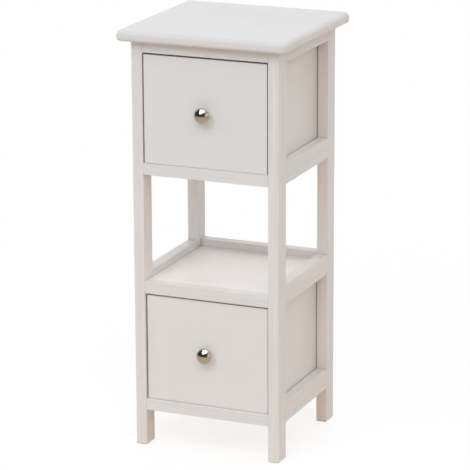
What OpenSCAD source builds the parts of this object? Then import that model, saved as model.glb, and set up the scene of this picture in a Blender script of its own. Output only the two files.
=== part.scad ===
// Bathroom storage tower: a painted wooden frame with four legs, an open shelf bay in the
// middle, and a drawer above and below it. Millimetres, +Z up, the fronts of the drawers
// face -Y. The origin is on the floor, under the middle of the whole object's outline.

/* [Body] */
// Width across the outer faces of the legs
body_w = 260; // [220:1:340]
// Depth from the front to the rear faces of the legs
body_d = 252; // [215:1:320]
// Height of the clear gap under the lower rails
foot_h = 63; // [40:1:110]
// Height of each drawer opening, between the front rails
opening_h = 185.5; // [150:0.5:230]
// Height of the open bay, from the shelf to the middle front rail
bay_h = 183.5; // [120:0.5:260]

/* [Top slab] */
// Thickness of the slab
slab_t = 18.5; // [15:0.5:25]
// How far the slab reaches past the legs on every side
top_overhang = 20; // [10:1:30]
// Radius of the nose's upper edge, as a share of the slab's thickness
slab_top_round = 0.46; // [0.1:0.01:0.49]
// Radius of the nose's lower edge, as a share of the slab's thickness
slab_bottom_round = 0.32; // [0.05:0.01:0.49]
// How much larger the slab's corner radius is than its edge radius
slab_corner_ease = 1; // [0.5:0.5:10]

/* [Legs and rails] */
// Width of a leg, seen from the front, and thickness of the side rails
leg_w = 19; // [17:0.5:24]
// Depth of a leg, seen from the side
leg_d = 32; // [27:0.5:42]
// Radius of the eased long edges of legs and rails
edge_r = 0.8; // [0.5:0.1:2]
// Chamfer round the foot of each leg
foot_chamfer = 1.5; // [0.5:0.1:3]
// Thickness of the front and rear rails
rail_t = 19; // [17:0.5:24]
// Height of the bottom and middle front rails
front_rail_h = 20; // [16:0.5:26]
// Height of the front rail at the shelf
shelf_rail_h = 21; // [16:0.5:28]
// Height of the front rail under the slab
top_front_rail_h = 19.5; // [15:0.5:30]
// Height of the bottom, middle and shelf-level rails at the sides and the rear
side_rail_h = 34; // [30:0.5:45]
// Height of the side and rear rails under the slab
top_side_rail_h = 23; // [18:0.5:40]

/* [Shelf and panels] */
// Thickness of the shelf board
shelf_t = 9; // [6:0.5:12]
// How deep the shelf board sits in the rails round it
shelf_groove = 5; // [3:0.5:6]
// Thickness of the side and back panels
panel_t = 4; // [3:0.5:6]
// Shadow gap between a side panel and the inner plane of the legs
panel_shadow_gap = 0.8; // [0.3:0.1:0.9]
// Height of the drawer runners
runner_h = 12; // [9:0.5:15]

/* [Drawers] */
// How far the upper drawer's front sits behind the front plane
upper_recess = 1.5; // [0:0.5:5]
// How far the lower drawer's front sits behind the front plane
lower_recess = 4; // [0:0.5:5]
// Thickness of a drawer front
front_t = 15; // [12:0.5:18]
// Gap at each side of a drawer front
front_side_gap = 2; // [1.2:0.1:4]
// Gap above a drawer front
front_top_gap = 3.2; // [1:0.1:4]
// Gap under a drawer front
front_bottom_gap = 0.4; // [0.3:0.1:3]
// Radius of the eased edges of a drawer front
front_edge_r = 0.4; // [0.2:0.1:2]
// Thickness of the drawer sides and back
drawer_side_t = 10; // [9:0.5:13]
// Free height above the drawer sides, under the front rail
drawer_headroom = 15; // [8:0.5:40]
// Thickness of the drawer bottoms
drawer_bottom_t = 4; // [3:0.5:6]
// How deep a drawer bottom sits in the boards round it
drawer_groove = 5; // [3:0.5:6]

/* [Knobs] */
// Largest diameter of a knob
knob_d = 27.5; // [22:0.5:32]
// How far a knob stands out from its drawer front
knob_len = 24; // [20:0.5:30]
// Diameter of the knob's foot
knob_base_d = 15; // [12:0.5:18]
// Diameter of the knob's neck
knob_neck_d = 9; // [8:0.5:11]

/* [Fasteners] */
// Diameter of the dowels
dowel_d = 6; // [5:0.5:7]
// How deep a dowel sits in a leg
dowel_in_leg = 12; // [8:0.5:13]
// How deep a dowel sits in a rail
dowel_in_rail = 18; // [10:0.5:22]
// Diameter of the wood screws
screw_d = 3.5; // [3:0.1:4]
// How deep a slab screw bites into the slab
slab_screw_bite = 10; // [6:0.5:13]
// How deep a runner screw bites into the side rail
runner_screw_bite = 12; // [8:0.5:15]
// How deep a drawer screw bites into the drawer's back
drawer_screw_bite = 20; // [10:0.5:30]
// Diameter of the panel pins
pin_d = 1.5; // [1.2:0.1:2]
// How deep a panel pin bites into the frame
pin_bite = 9; // [6:0.5:11]
// Distance between the two pins along one edge of a panel
pin_pitch = 100; // [60:1:130]
// Diameter of the knob's machine screw
knob_screw_d = 4; // [3:0.5:5]
// How deep the knob's machine screw bites into the knob
knob_screw_bite = 8; // [5:0.5:11]

/* [Hidden] */
$fn = 64;

// Colours
paint = [0.93, 0.92, 0.90];
bare_wood = [0.86, 0.76, 0.62];
plywood = [0.82, 0.72, 0.58];
polished = [0.78, 0.76, 0.72];
steel = [0.62, 0.62, 0.64];

// Fits and small clearances
eps = 0.01;              // how far a cutter runs past the face it opens
hole_play = 0.1;         // a hole's diameter over that of the piece in it
bore_end = 1;            // free depth past the end of a dowel or a screw
shelf_shoulder = 0.5;    // how far the shelf's tongues sit under its top
shelf_play = 0.2;        // free edge of the shelf's top against the rails
panel_play = 0.5;        // free edge of a panel against its neighbour
panel_setback = 3;       // side panel's front edge behind the drawer front
runner_play = 0.3;       // running gap between a drawer side and its runner
drawer_play = 2;         // side gap between a drawer box and the side panels
drawer_back_gap = 1.5;   // gap behind the deeper-set drawer when it is closed
runner_reach = 3;        // how far a runner reaches inwards past the drawer side
bottom_play = 0.2;       // free height of a drawer bottom in its groove
groove_floor = 8;        // wood under the groove of a drawer bottom
two_dowel_h = 28;        // rails this high or higher have two dowels at each end

// Heads
screw_head_d = 7;
screw_head_h = 2.4;
screw_slot = 0.8;
pin_head_d = 3.2;
pin_head_h = 0.8;
pan_head_d = 8;
pan_head_h = 2.6;
pan_edge_r = 1;

// Knob profile
knob_base_h = 1.8;       // thickness of the foot
knob_base_r = 0.8;       // rounding of the foot's edge
knob_under_h = 9;        // from the drawer front to the underside of the head
knob_rim_h = 13.2;       // from the drawer front to the middle of the rim
knob_rim_r = 1.6;        // rounding of the rim

// Plan: the outline of the whole object is centred on the origin
half_w = body_w / 2;
inner_x = half_w - leg_w;
front_reach = max(top_overhang, knob_len - min(upper_recess, lower_recess));
front_y = -body_d / 2 + (front_reach - top_overhang) / 2;
back_y = front_y + body_d;
leg_back_y = front_y + leg_d;       // rear faces of the front legs
leg_front_y = back_y - leg_d;       // front faces of the rear legs
rail_front_y = front_y + rail_t;    // rear faces of the front rails
rail_back_y = back_y - rail_t;      // front faces of the rear rails
panel_back_y = rail_back_y - panel_t;
deepest_recess = max(upper_recess, lower_recess);
panel_front_y = front_y + max(rail_t, deepest_recess + front_t) + panel_setback;
panel_x = inner_x - panel_shadow_gap - panel_t;

// Slab's nose and corners
slab_top_r = slab_t * slab_top_round;
slab_bottom_r = slab_t * slab_bottom_round;
slab_corner_r = max(slab_top_r, slab_bottom_r) + slab_corner_ease;

// Levels
lower_open_z = foot_h + front_rail_h;
shelf_rail_z = lower_open_z + opening_h;
shelf_z = shelf_rail_z + shelf_rail_h;
middle_rail_z = shelf_z + bay_h;
upper_open_z = middle_rail_z + front_rail_h;
top_rail_z = upper_open_z + opening_h;
leg_h = top_rail_z + top_front_rail_h;
shelf_under_z = shelf_z - shelf_t;
shelf_tongue_z = shelf_z - shelf_shoulder;
top_side_rail_z = leg_h - top_side_rail_h;
lower_panel_top_z = shelf_under_z - panel_play;
upper_panel_top_z = leg_h - panel_play;

// Rails as [lower edge, height], from the top down
front_rails = [[top_rail_z, top_front_rail_h], [middle_rail_z, front_rail_h],
               [shelf_rail_z, shelf_rail_h], [foot_h, front_rail_h]];
frame_rails = [[top_side_rail_z, top_side_rail_h], [middle_rail_z, side_rail_h],
               [shelf_rail_z, side_rail_h], [foot_h, side_rail_h]];
TOP = 0;
MIDDLE = 1;
SHELF = 2;
BOTTOM = 3;
LEFT = -1;
RIGHT = 1;

// Drawers, in the drawer's own frame: y = 0 is its front face, z = 0 the opening's floor
front_w = 2 * (inner_x - front_side_gap);
front_h = opening_h - front_top_gap - front_bottom_gap;
box_w = 2 * (panel_x - drawer_play);
box_end_y = panel_back_y - drawer_back_gap - front_y - deepest_recess;
side_h = opening_h - runner_play - drawer_headroom;
back_y0 = box_end_y - drawer_side_t;
groove_z = runner_play + groove_floor;
knob_z = front_bottom_gap + front_h / 2;
drawer_dowel_in_front = front_t * 0.6;
drawer_dowel_zs = [runner_play + side_h * 0.25, runner_play + side_h * 0.75];
runner_w = inner_x - (box_w / 2 - drawer_side_t - runner_reach);
runner_screw_ys = [front_y + body_d * 0.28, back_y - body_d * 0.28];
slab_screw_ys = [front_y + body_d * 0.33, back_y - body_d * 0.33];

// Heights of the dowels at the end of a rail
function dowel_zs(rail) = rail[1] >= two_dowel_h
    ? [rail[0] + rail[1] / 4, rail[0] + rail[1] * 3 / 4]
    : [rail[0] + rail[1] / 2];

// Pins of a panel whose opening starts at z, and whose top edge is at top
function side_pin_zs(z) = [z + opening_h / 2 - pin_pitch / 2, z + opening_h / 2 + pin_pitch / 2];
function back_pin_zs(z, top, rail_z) = [z + (side_rail_h - front_rail_h) / 2, (rail_z + top) / 2];
side_pin_ys = [(panel_front_y + leg_back_y) / 2, (panel_back_y - panel_play + leg_front_y) / 2];
lower_back_pin_zs = back_pin_zs(lower_open_z, lower_panel_top_z, shelf_rail_z);
upper_back_pin_zs = back_pin_zs(upper_open_z, upper_panel_top_z, top_side_rail_z);

// ---- Basic solids -------------------------------------------------------------------

module box(low, high) {
    translate(low)
        cube([high[0] - low[0], high[1] - low[1], high[2] - low[2]]);
}

// Rectangle from low to high with rounded corners
module eased_rect(low, high, r) {
    translate([low[0] + r, low[1]])
        square([high[0] - low[0] - 2 * r, high[1] - low[1]]);
    translate([low[0], low[1] + r])
        square([high[0] - low[0], high[1] - low[1] - 2 * r]);
    for (a = [low[0] + r, high[0] - r], b = [low[1] + r, high[1] - r])
        translate([a, b])
            circle(r = r);
}

// Bars with eased long edges; the profile's low and high corners are [y, z] or [x, z]
module bar_x(x0, x1, low, high) {
    translate([x0, 0, 0])
        rotate([90, 0, 90])
            linear_extrude(x1 - x0)
                eased_rect(low, high, edge_r);
}

module bar_y(y0, y1, low, high) {
    translate([0, y1, 0])
        rotate([90, 0, 0])
            linear_extrude(y1 - y0)
                eased_rect(low, high, edge_r);
}

// Round rods from one point along +X, +Y or +Z
module rod_x(p, len, d) {
    translate(p)
        rotate([0, 90, 0])
            cylinder(h = len, d = d);
}

module rod_y(p, len, d) {
    translate(p)
        rotate([-90, 0, 0])
            cylinder(h = len, d = d);
}

module rod_z(p, len, d) {
    translate(p)
        cylinder(h = len, d = d);
}

// Right-hand geometry for the right side, mirrored for the left
module on_side(side) {
    if (side == RIGHT)
        children();
    else
        mirror([1, 0, 0])
            children();
}

// ---- Fasteners ----------------------------------------------------------------------

// Countersunk wood screw: the head's top face is at z = 0, the tip points to +Z
module wood_screw(len) {
    difference() {
        union() {
            cylinder(h = screw_head_h, d1 = screw_head_d, d2 = screw_d);
            cylinder(h = len - screw_d, d = screw_d);
            translate([0, 0, len - screw_d])
                cylinder(h = screw_d, d1 = screw_d, d2 = screw_slot);
        }
        for (turn = [0, 90])
            rotate([0, 0, turn])
                translate([-screw_d / 2, -screw_slot / 2, -eps])
                    cube([screw_d, screw_slot, screw_head_h / 2]);
    }
}

// The hole that takes such a screw
module wood_screw_hole(len) {
    translate([0, 0, -eps])
        cylinder(h = screw_head_h, d1 = screw_head_d + hole_play, d2 = screw_d + hole_play);
    translate([0, 0, -eps])
        cylinder(h = len + bore_end, d = screw_d + hole_play);
}

// Panel pin: the head's top face is at z = 0, the tip points to +Z
module panel_pin() {
    cylinder(h = pin_head_h, d = pin_head_d);
    cylinder(h = panel_t + panel_shadow_gap + pin_bite, d = pin_d);
}

module panel_pin_hole() {
    translate([0, 0, -eps])
        cylinder(h = pin_head_h + eps, d = pin_head_d + hole_play);
    translate([0, 0, -eps])
        cylinder(h = panel_t + panel_shadow_gap + pin_bite + bore_end, d = pin_d + hole_play);
}

// Places of the fasteners, each a frame whose +Z is the way the fastener points
module at_slab_screws(side) {
    on_side(side)
        for (y = slab_screw_ys)
            translate([half_w - leg_w / 2, y, top_side_rail_z])
                children();
}

module at_runner_screws(side, open_z) {
    on_side(side)
        for (y = runner_screw_ys)
            translate([inner_x - runner_w, y, open_z - runner_h / 2])
                rotate([0, 90, 0])
                    children();
}

module at_side_pins(side, open_z) {
    on_side(side)
        for (y = side_pin_ys, z = side_pin_zs(open_z))
            translate([panel_x, y, z])
                rotate([0, 90, 0])
                    children();
}

module at_back_pins(zs) {
    for (x = [-pin_pitch / 2, pin_pitch / 2], z = zs)
        translate([x, panel_back_y, z])
            rotate([-90, 0, 0])
                children();
}

// Dowels between a front or rear rail and the leg on one side; grow widens them into bores
module cross_dowels(side, rail, y, grow, end) {
    on_side(side)
        for (z = dowel_zs(rail))
            rod_x([inner_x - dowel_in_rail - end, y, z],
                  dowel_in_rail + dowel_in_leg + 2 * end, dowel_d + grow);
}

// Dowels between a side rail and its two legs
module side_dowels(side, rail, grow, end) {
    on_side(side)
        for (z = dowel_zs(rail)) {
            rod_y([half_w - leg_w / 2, leg_back_y - dowel_in_leg - end, z],
                  dowel_in_rail + dowel_in_leg + 2 * end, dowel_d + grow);
            rod_y([half_w - leg_w / 2, leg_front_y - dowel_in_rail - end, z],
                  dowel_in_rail + dowel_in_leg + 2 * end, dowel_d + grow);
        }
}

// ---- Frame --------------------------------------------------------------------------

// Half section of the slab's nose; x = 0 is where the flat of the slab begins
module nose_profile(width) {
    square([width - slab_bottom_r, slab_t - slab_top_r]);
    square([width - slab_top_r, slab_t]);
    translate([0, slab_bottom_r])
        square([width, slab_t - slab_bottom_r - slab_top_r]);
    intersection() {
        union() {
            translate([width - slab_bottom_r, slab_bottom_r])
                circle(r = slab_bottom_r);
            translate([width - slab_top_r, slab_t - slab_top_r])
                circle(r = slab_top_r);
        }
        square([width, slab_t]);
    }
}

module slab_blank() {
    x = half_w + top_overhang - slab_corner_r;
    y0 = front_y - top_overhang + slab_corner_r;
    y1 = back_y + top_overhang - slab_corner_r;
    translate([0, 0, leg_h]) {
        box([-x, y0, 0], [x, y1, slab_t]);
        for (side = [LEFT, RIGHT])
            on_side(side) {
                translate([x, y1, 0])
                    rotate([90, 0, 0])
                        linear_extrude(y1 - y0)
                            nose_profile(slab_corner_r);
                translate([x, y1, 0])
                    rotate_extrude(angle = 90)
                        nose_profile(slab_corner_r);
                translate([x, y0, 0])
                    rotate([0, 0, -90])
                        rotate_extrude(angle = 90)
                            nose_profile(slab_corner_r);
            }
        translate([x, y0, 0])
            rotate([90, 0, -90])
                linear_extrude(2 * x)
                    nose_profile(slab_corner_r);
        translate([-x, y1, 0])
            rotate([90, 0, 90])
                linear_extrude(2 * x)
                    nose_profile(slab_corner_r);
    }
}

module top_slab() {
    color(paint)
        difference() {
            slab_blank();
            for (side = [LEFT, RIGHT])
                at_slab_screws(side)
                    wood_screw_hole(top_side_rail_h + slab_screw_bite);
        }
}

// Leg blank on the right: eased long edges and a chamfer round the foot
module leg_blank(y0) {
    c = foot_chamfer;
    intersection() {
        linear_extrude(leg_h)
            eased_rect([inner_x, y0], [half_w, y0 + leg_d], edge_r);
        translate([0, y0 + leg_d, 0])
            rotate([90, 0, 0])
                linear_extrude(leg_d)
                    polygon([[inner_x + c, 0], [half_w - c, 0], [half_w, c], [half_w, leg_h],
                             [inner_x, leg_h], [inner_x, c]]);
        translate([inner_x, 0, 0])
            rotate([90, 0, 90])
                linear_extrude(leg_w)
                    polygon([[y0 + c, 0], [y0 + leg_d - c, 0], [y0 + leg_d, c],
                             [y0 + leg_d, leg_h], [y0, leg_h], [y0, c]]);
    }
}

module front_leg(side) {
    color(paint)
        difference() {
            on_side(side)
                leg_blank(front_y);
            for (rail = front_rails)
                cross_dowels(side, rail, front_y + rail_t / 2, hole_play, bore_end);
            for (rail = frame_rails)
                side_dowels(side, rail, hole_play, bore_end);
            for (open_z = [lower_open_z, upper_open_z])
                at_side_pins(side, open_z)
                    panel_pin_hole();
        }
}

module rear_leg(side) {
    color(paint)
        difference() {
            on_side(side)
                leg_blank(leg_front_y);
            for (rail = frame_rails)
                cross_dowels(side, rail, back_y - rail_t / 2, hole_play, bore_end);
            for (rail = frame_rails)
                side_dowels(side, rail, hole_play, bore_end);
            for (open_z = [lower_open_z, upper_open_z])
                at_side_pins(side, open_z)
                    panel_pin_hole();
        }
}

module leg_front_left() { front_leg(LEFT); }
module leg_front_right() { front_leg(RIGHT); }
module leg_rear_left() { rear_leg(LEFT); }
module leg_rear_right() { rear_leg(RIGHT); }

module front_rail(level) {
    rail = front_rails[level];
    color(paint)
        difference() {
            bar_x(-inner_x, inner_x, [front_y, rail[0]], [rail_front_y, rail[0] + rail[1]]);
            for (side = [LEFT, RIGHT])
                cross_dowels(side, rail, front_y + rail_t / 2, hole_play, bore_end);
            if (level == SHELF)
                box([-inner_x - eps, rail_front_y - shelf_groove, shelf_under_z],
                    [inner_x + eps, rail_front_y + eps, shelf_z + eps]);
        }
}

module front_rail_top() { front_rail(TOP); }
module front_rail_middle() { front_rail(MIDDLE); }
module front_rail_shelf() { front_rail(SHELF); }
module front_rail_bottom() { front_rail(BOTTOM); }

module rear_rail(level) {
    rail = frame_rails[level];
    color(paint)
        difference() {
            bar_x(-inner_x, inner_x, [rail_back_y, rail[0]], [back_y, rail[0] + rail[1]]);
            for (side = [LEFT, RIGHT])
                cross_dowels(side, rail, back_y - rail_t / 2, hole_play, bore_end);
            at_back_pins(concat(lower_back_pin_zs, upper_back_pin_zs))
                panel_pin_hole();
            if (level == SHELF)
                box([-inner_x - eps, rail_back_y - eps, shelf_under_z],
                    [inner_x + eps, rail_back_y + shelf_groove, shelf_tongue_z]);
        }
}

module rear_rail_top() { rear_rail(TOP); }
module rear_rail_middle() { rear_rail(MIDDLE); }
module rear_rail_shelf() { rear_rail(SHELF); }
module rear_rail_bottom() { rear_rail(BOTTOM); }

module side_rail(side, level) {
    rail = frame_rails[level];
    color(paint)
        difference() {
            on_side(side)
                bar_y(leg_back_y, leg_front_y, [inner_x, rail[0]], [half_w, rail[0] + rail[1]]);
            side_dowels(side, rail, hole_play, bore_end);
            if (level == TOP)
                at_slab_screws(side)
                    wood_screw_hole(top_side_rail_h + slab_screw_bite);
            if (level == MIDDLE)
                at_runner_screws(side, upper_open_z)
                    wood_screw_hole(runner_w + runner_screw_bite);
            if (level == BOTTOM)
                at_runner_screws(side, lower_open_z)
                    wood_screw_hole(runner_w + runner_screw_bite);
            if (level == SHELF)
                on_side(side)
                    box([inner_x - eps, leg_back_y - eps, shelf_under_z],
                        [inner_x + shelf_groove, leg_front_y + eps, shelf_tongue_z]);
        }
}

module left_rail_top() { side_rail(LEFT, TOP); }
module left_rail_middle() { side_rail(LEFT, MIDDLE); }
module left_rail_shelf() { side_rail(LEFT, SHELF); }
module left_rail_bottom() { side_rail(LEFT, BOTTOM); }
module right_rail_top() { side_rail(RIGHT, TOP); }
module right_rail_middle() { side_rail(RIGHT, MIDDLE); }
module right_rail_shelf() { side_rail(RIGHT, SHELF); }
module right_rail_bottom() { side_rail(RIGHT, BOTTOM); }

// The shelf's tongues sit in the rails, and its top lies open between them; its corners are
// notched round the legs
module shelf_board() {
    color(paint) {
        box([-inner_x, rail_front_y - shelf_groove, shelf_under_z],
            [inner_x, rail_back_y + shelf_groove, shelf_tongue_z]);
        box([-inner_x - shelf_groove, leg_back_y, shelf_under_z],
            [inner_x + shelf_groove, leg_front_y, shelf_tongue_z]);
        box([-inner_x + shelf_play, rail_front_y - shelf_groove, shelf_under_z],
            [inner_x - shelf_play, rail_back_y - shelf_play, shelf_z]);
    }
}

module side_panel(side, open_z, top_z) {
    color(paint)
        difference() {
            on_side(side)
                box([panel_x, panel_front_y, open_z],
                    [panel_x + panel_t, panel_back_y - panel_play, top_z]);
            at_side_pins(side, open_z)
                panel_pin_hole();
        }
}

module side_panel_upper_left() { side_panel(LEFT, upper_open_z, upper_panel_top_z); }
module side_panel_upper_right() { side_panel(RIGHT, upper_open_z, upper_panel_top_z); }
module side_panel_lower_left() { side_panel(LEFT, lower_open_z, lower_panel_top_z); }
module side_panel_lower_right() { side_panel(RIGHT, lower_open_z, lower_panel_top_z); }

module back_panel(open_z, top_z, pin_zs) {
    color(paint)
        difference() {
            box([-inner_x + panel_play, panel_back_y, open_z],
                [inner_x - panel_play, rail_back_y, top_z]);
            at_back_pins(pin_zs)
                panel_pin_hole();
        }
}

module back_panel_upper() { back_panel(upper_open_z, upper_panel_top_z, upper_back_pin_zs); }
module back_panel_lower() { back_panel(lower_open_z, lower_panel_top_z, lower_back_pin_zs); }

module runner(side, open_z) {
    color(bare_wood)
        difference() {
            on_side(side)
                box([inner_x - runner_w, rail_front_y, open_z - runner_h],
                    [inner_x, rail_back_y, open_z]);
            at_runner_screws(side, open_z)
                wood_screw_hole(runner_w + runner_screw_bite);
        }
}

module runner_upper_left() { runner(LEFT, upper_open_z); }
module runner_upper_right() { runner(RIGHT, upper_open_z); }
module runner_lower_left() { runner(LEFT, lower_open_z); }
module runner_lower_right() { runner(RIGHT, lower_open_z); }

module front_rail_dowels() {
    color(bare_wood)
        for (side = [LEFT, RIGHT], rail = front_rails)
            cross_dowels(side, rail, front_y + rail_t / 2, 0, 0);
}

module rear_rail_dowels() {
    color(bare_wood)
        for (side = [LEFT, RIGHT], rail = frame_rails)
            cross_dowels(side, rail, back_y - rail_t / 2, 0, 0);
}

module side_rail_dowels() {
    color(bare_wood)
        for (side = [LEFT, RIGHT], rail = frame_rails)
            side_dowels(side, rail, 0, 0);
}

module slab_screws() {
    color(steel)
        for (side = [LEFT, RIGHT])
            at_slab_screws(side)
                wood_screw(top_side_rail_h + slab_screw_bite);
}

module runner_screws() {
    color(steel)
        for (side = [LEFT, RIGHT], open_z = [lower_open_z, upper_open_z])
            at_runner_screws(side, open_z)
                wood_screw(runner_w + runner_screw_bite);
}

module side_panel_pins() {
    color(steel)
        for (side = [LEFT, RIGHT], open_z = [lower_open_z, upper_open_z])
            at_side_pins(side, open_z)
                panel_pin();
}

module back_panel_pins() {
    color(steel)
        at_back_pins(concat(lower_back_pin_zs, upper_back_pin_zs))
            panel_pin();
}

// ---- Drawers ------------------------------------------------------------------------

module in_upper_drawer() {
    translate([0, front_y + upper_recess, upper_open_z])
        children();
}

module in_lower_drawer() {
    translate([0, front_y + lower_recess, lower_open_z])
        children();
}

// Dowels between the drawer front and one side
module drawer_dowel_rods(side, grow, end) {
    on_side(side)
        for (z = drawer_dowel_zs)
            rod_y([(box_w - drawer_side_t) / 2, front_t - drawer_dowel_in_front - end, z],
                  drawer_dowel_in_front + dowel_in_rail + 2 * end, dowel_d + grow);
}

// Screws through one side into the end of the drawer's back
module at_drawer_screws(side) {
    on_side(side)
        for (z = drawer_dowel_zs)
            translate([box_w / 2, back_y0 + drawer_side_t / 2, z])
                rotate([0, -90, 0])
                    children();
}

module drawer_groove_cut() {
    depth = drawer_side_t - drawer_groove;
    box([-box_w / 2 + depth, front_t - drawer_groove, groove_z],
        [box_w / 2 - depth, back_y0 + drawer_groove, groove_z + drawer_bottom_t + bottom_play]);
}

module drawer_front() {
    r = front_edge_r;
    color(paint)
        difference() {
            intersection() {
                translate([-front_w / 2, 0, 0])
                    rotate([90, 0, 90])
                        linear_extrude(front_w)
                            eased_rect([0, front_bottom_gap],
                                       [front_t, front_bottom_gap + front_h], r);
                linear_extrude(opening_h)
                    eased_rect([-front_w / 2, 0], [front_w / 2, front_t], r);
            }
            for (side = [LEFT, RIGHT])
                drawer_dowel_rods(side, hole_play, bore_end);
            drawer_groove_cut();
            rod_y([0, -eps, knob_z], front_t + 2 * eps, knob_screw_d + hole_play);
        }
}

module drawer_side(side) {
    color(bare_wood)
        difference() {
            on_side(side)
                box([box_w / 2 - drawer_side_t, front_t, runner_play],
                    [box_w / 2, box_end_y, runner_play + side_h]);
            drawer_dowel_rods(side, hole_play, bore_end);
            at_drawer_screws(side)
                wood_screw_hole(drawer_side_t + drawer_screw_bite);
            drawer_groove_cut();
        }
}

module drawer_back() {
    color(bare_wood)
        difference() {
            box([-box_w / 2 + drawer_side_t, back_y0, runner_play],
                [box_w / 2 - drawer_side_t, box_end_y, runner_play + side_h]);
            for (side = [LEFT, RIGHT])
                at_drawer_screws(side)
                    wood_screw_hole(drawer_side_t + drawer_screw_bite);
            drawer_groove_cut();
        }
}

module drawer_bottom() {
    depth = drawer_side_t - drawer_groove;
    color(plywood)
        box([-box_w / 2 + depth, front_t - drawer_groove, groove_z],
            [box_w / 2 - depth, back_y0 + drawer_groove, groove_z + drawer_bottom_t]);
}

module drawer_dowels() {
    color(bare_wood)
        for (side = [LEFT, RIGHT])
            drawer_dowel_rods(side, 0, 0);
}

module drawer_screws() {
    color(steel)
        for (side = [LEFT, RIGHT])
            at_drawer_screws(side)
                wood_screw(drawer_side_t + drawer_screw_bite);
}

// Half section of the knob: x is the radius, y the distance from the drawer front
module knob_profile() {
    rim_x = knob_d / 2 - knob_rim_r;
    rise = knob_len - knob_rim_h;
    // The dome touches the rim's rounding, so its radius follows from the two
    dome_r = (pow(rim_x, 2) + pow(rise, 2) - pow(knob_rim_r, 2)) / (2 * (rise - knob_rim_r));
    dome_y = knob_len - dome_r;
    meet = dome_r / (dome_r - knob_rim_r);
    meet_x = rim_x * meet;
    meet_y = dome_y + (knob_rim_h - dome_y) * meet;
    intersection() {
        translate([0, dome_y])
            circle(r = dome_r);
        translate([0, meet_y])
            square([knob_d, knob_len]);
    }
    intersection() {
        translate([rim_x, knob_rim_h])
            circle(r = knob_rim_r);
        square([knob_d, knob_len]);
    }
    polygon([[0, knob_under_h], [knob_neck_d / 2, knob_under_h],
             [rim_x, knob_rim_h - knob_rim_r], [rim_x, knob_rim_h],
             [meet_x, meet_y], [0, meet_y]]);
    square([knob_neck_d / 2, knob_under_h]);
    square([knob_base_d / 2 - knob_base_r, knob_base_h]);
    square([knob_base_d / 2, knob_base_h - knob_base_r]);
    translate([knob_base_d / 2 - knob_base_r, knob_base_h - knob_base_r])
        circle(r = knob_base_r);
}

module drawer_knob() {
    color(polished)
        difference() {
            translate([0, 0, knob_z])
                rotate([90, 0, 0])
                    rotate_extrude()
                        knob_profile();
            rod_y([0, -knob_screw_bite - bore_end, knob_z],
                  knob_screw_bite + bore_end + eps, knob_screw_d + hole_play);
        }
}

// Pan-head machine screw from inside the drawer, through the front, into the knob
module drawer_knob_screw() {
    color(steel)
        difference() {
            translate([0, front_t + pan_head_h, knob_z])
                rotate([90, 0, 0])
                    rotate_extrude() {
                        translate([0, pan_edge_r])
                            square([pan_head_d / 2, pan_head_h - pan_edge_r]);
                        square([pan_head_d / 2 - pan_edge_r, pan_head_h]);
                        intersection() {
                            translate([pan_head_d / 2 - pan_edge_r, pan_edge_r])
                                circle(r = pan_edge_r);
                            square(pan_head_d);
                        }
                        square([knob_screw_d / 2, pan_head_h + front_t + knob_screw_bite]);
                    }
            for (turn = [0, 90])
                translate([0, front_t + pan_head_h + eps, knob_z])
                    rotate([90, turn, 0])
                        translate([-pan_head_d / 4, -screw_slot / 2, 0])
                            cube([pan_head_d / 2, screw_slot, pan_head_h / 2]);
        }
}

module upper_drawer_front() { in_upper_drawer() drawer_front(); }
module upper_drawer_side_left() { in_upper_drawer() drawer_side(LEFT); }
module upper_drawer_side_right() { in_upper_drawer() drawer_side(RIGHT); }
module upper_drawer_back() { in_upper_drawer() drawer_back(); }
module upper_drawer_bottom() { in_upper_drawer() drawer_bottom(); }
module upper_drawer_dowels() { in_upper_drawer() drawer_dowels(); }
module upper_drawer_screws() { in_upper_drawer() drawer_screws(); }
module upper_drawer_knob() { in_upper_drawer() drawer_knob(); }
module upper_drawer_knob_screw() { in_upper_drawer() drawer_knob_screw(); }
module lower_drawer_front() { in_lower_drawer() drawer_front(); }
module lower_drawer_side_left() { in_lower_drawer() drawer_side(LEFT); }
module lower_drawer_side_right() { in_lower_drawer() drawer_side(RIGHT); }
module lower_drawer_back() { in_lower_drawer() drawer_back(); }
module lower_drawer_bottom() { in_lower_drawer() drawer_bottom(); }
module lower_drawer_dowels() { in_lower_drawer() drawer_dowels(); }
module lower_drawer_screws() { in_lower_drawer() drawer_screws(); }
module lower_drawer_knob() { in_lower_drawer() drawer_knob(); }
module lower_drawer_knob_screw() { in_lower_drawer() drawer_knob_screw(); }

// ---- Nodes --------------------------------------------------------------------------

top_slab();
leg_front_left();
leg_front_right();
leg_rear_left();
leg_rear_right();
front_rail_top();
front_rail_middle();
front_rail_shelf();
front_rail_bottom();
rear_rail_top();
rear_rail_middle();
rear_rail_shelf();
rear_rail_bottom();
left_rail_top();
left_rail_middle();
left_rail_shelf();
left_rail_bottom();
right_rail_top();
right_rail_middle();
right_rail_shelf();
right_rail_bottom();
shelf_board();
side_panel_upper_left();
side_panel_upper_right();
side_panel_lower_left();
side_panel_lower_right();
back_panel_upper();
back_panel_lower();
runner_upper_left();
runner_upper_right();
runner_lower_left();
runner_lower_right();
front_rail_dowels();
rear_rail_dowels();
side_rail_dowels();
slab_screws();
runner_screws();
side_panel_pins();
back_panel_pins();
upper_drawer_front();
upper_drawer_side_left();
upper_drawer_side_right();
upper_drawer_back();
upper_drawer_bottom();
upper_drawer_dowels();
upper_drawer_screws();
upper_drawer_knob();
upper_drawer_knob_screw();
lower_drawer_front();
lower_drawer_side_left();
lower_drawer_side_right();
lower_drawer_back();
lower_drawer_bottom();
lower_drawer_dowels();
lower_drawer_screws();
lower_drawer_knob();
lower_drawer_knob_screw();
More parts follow.
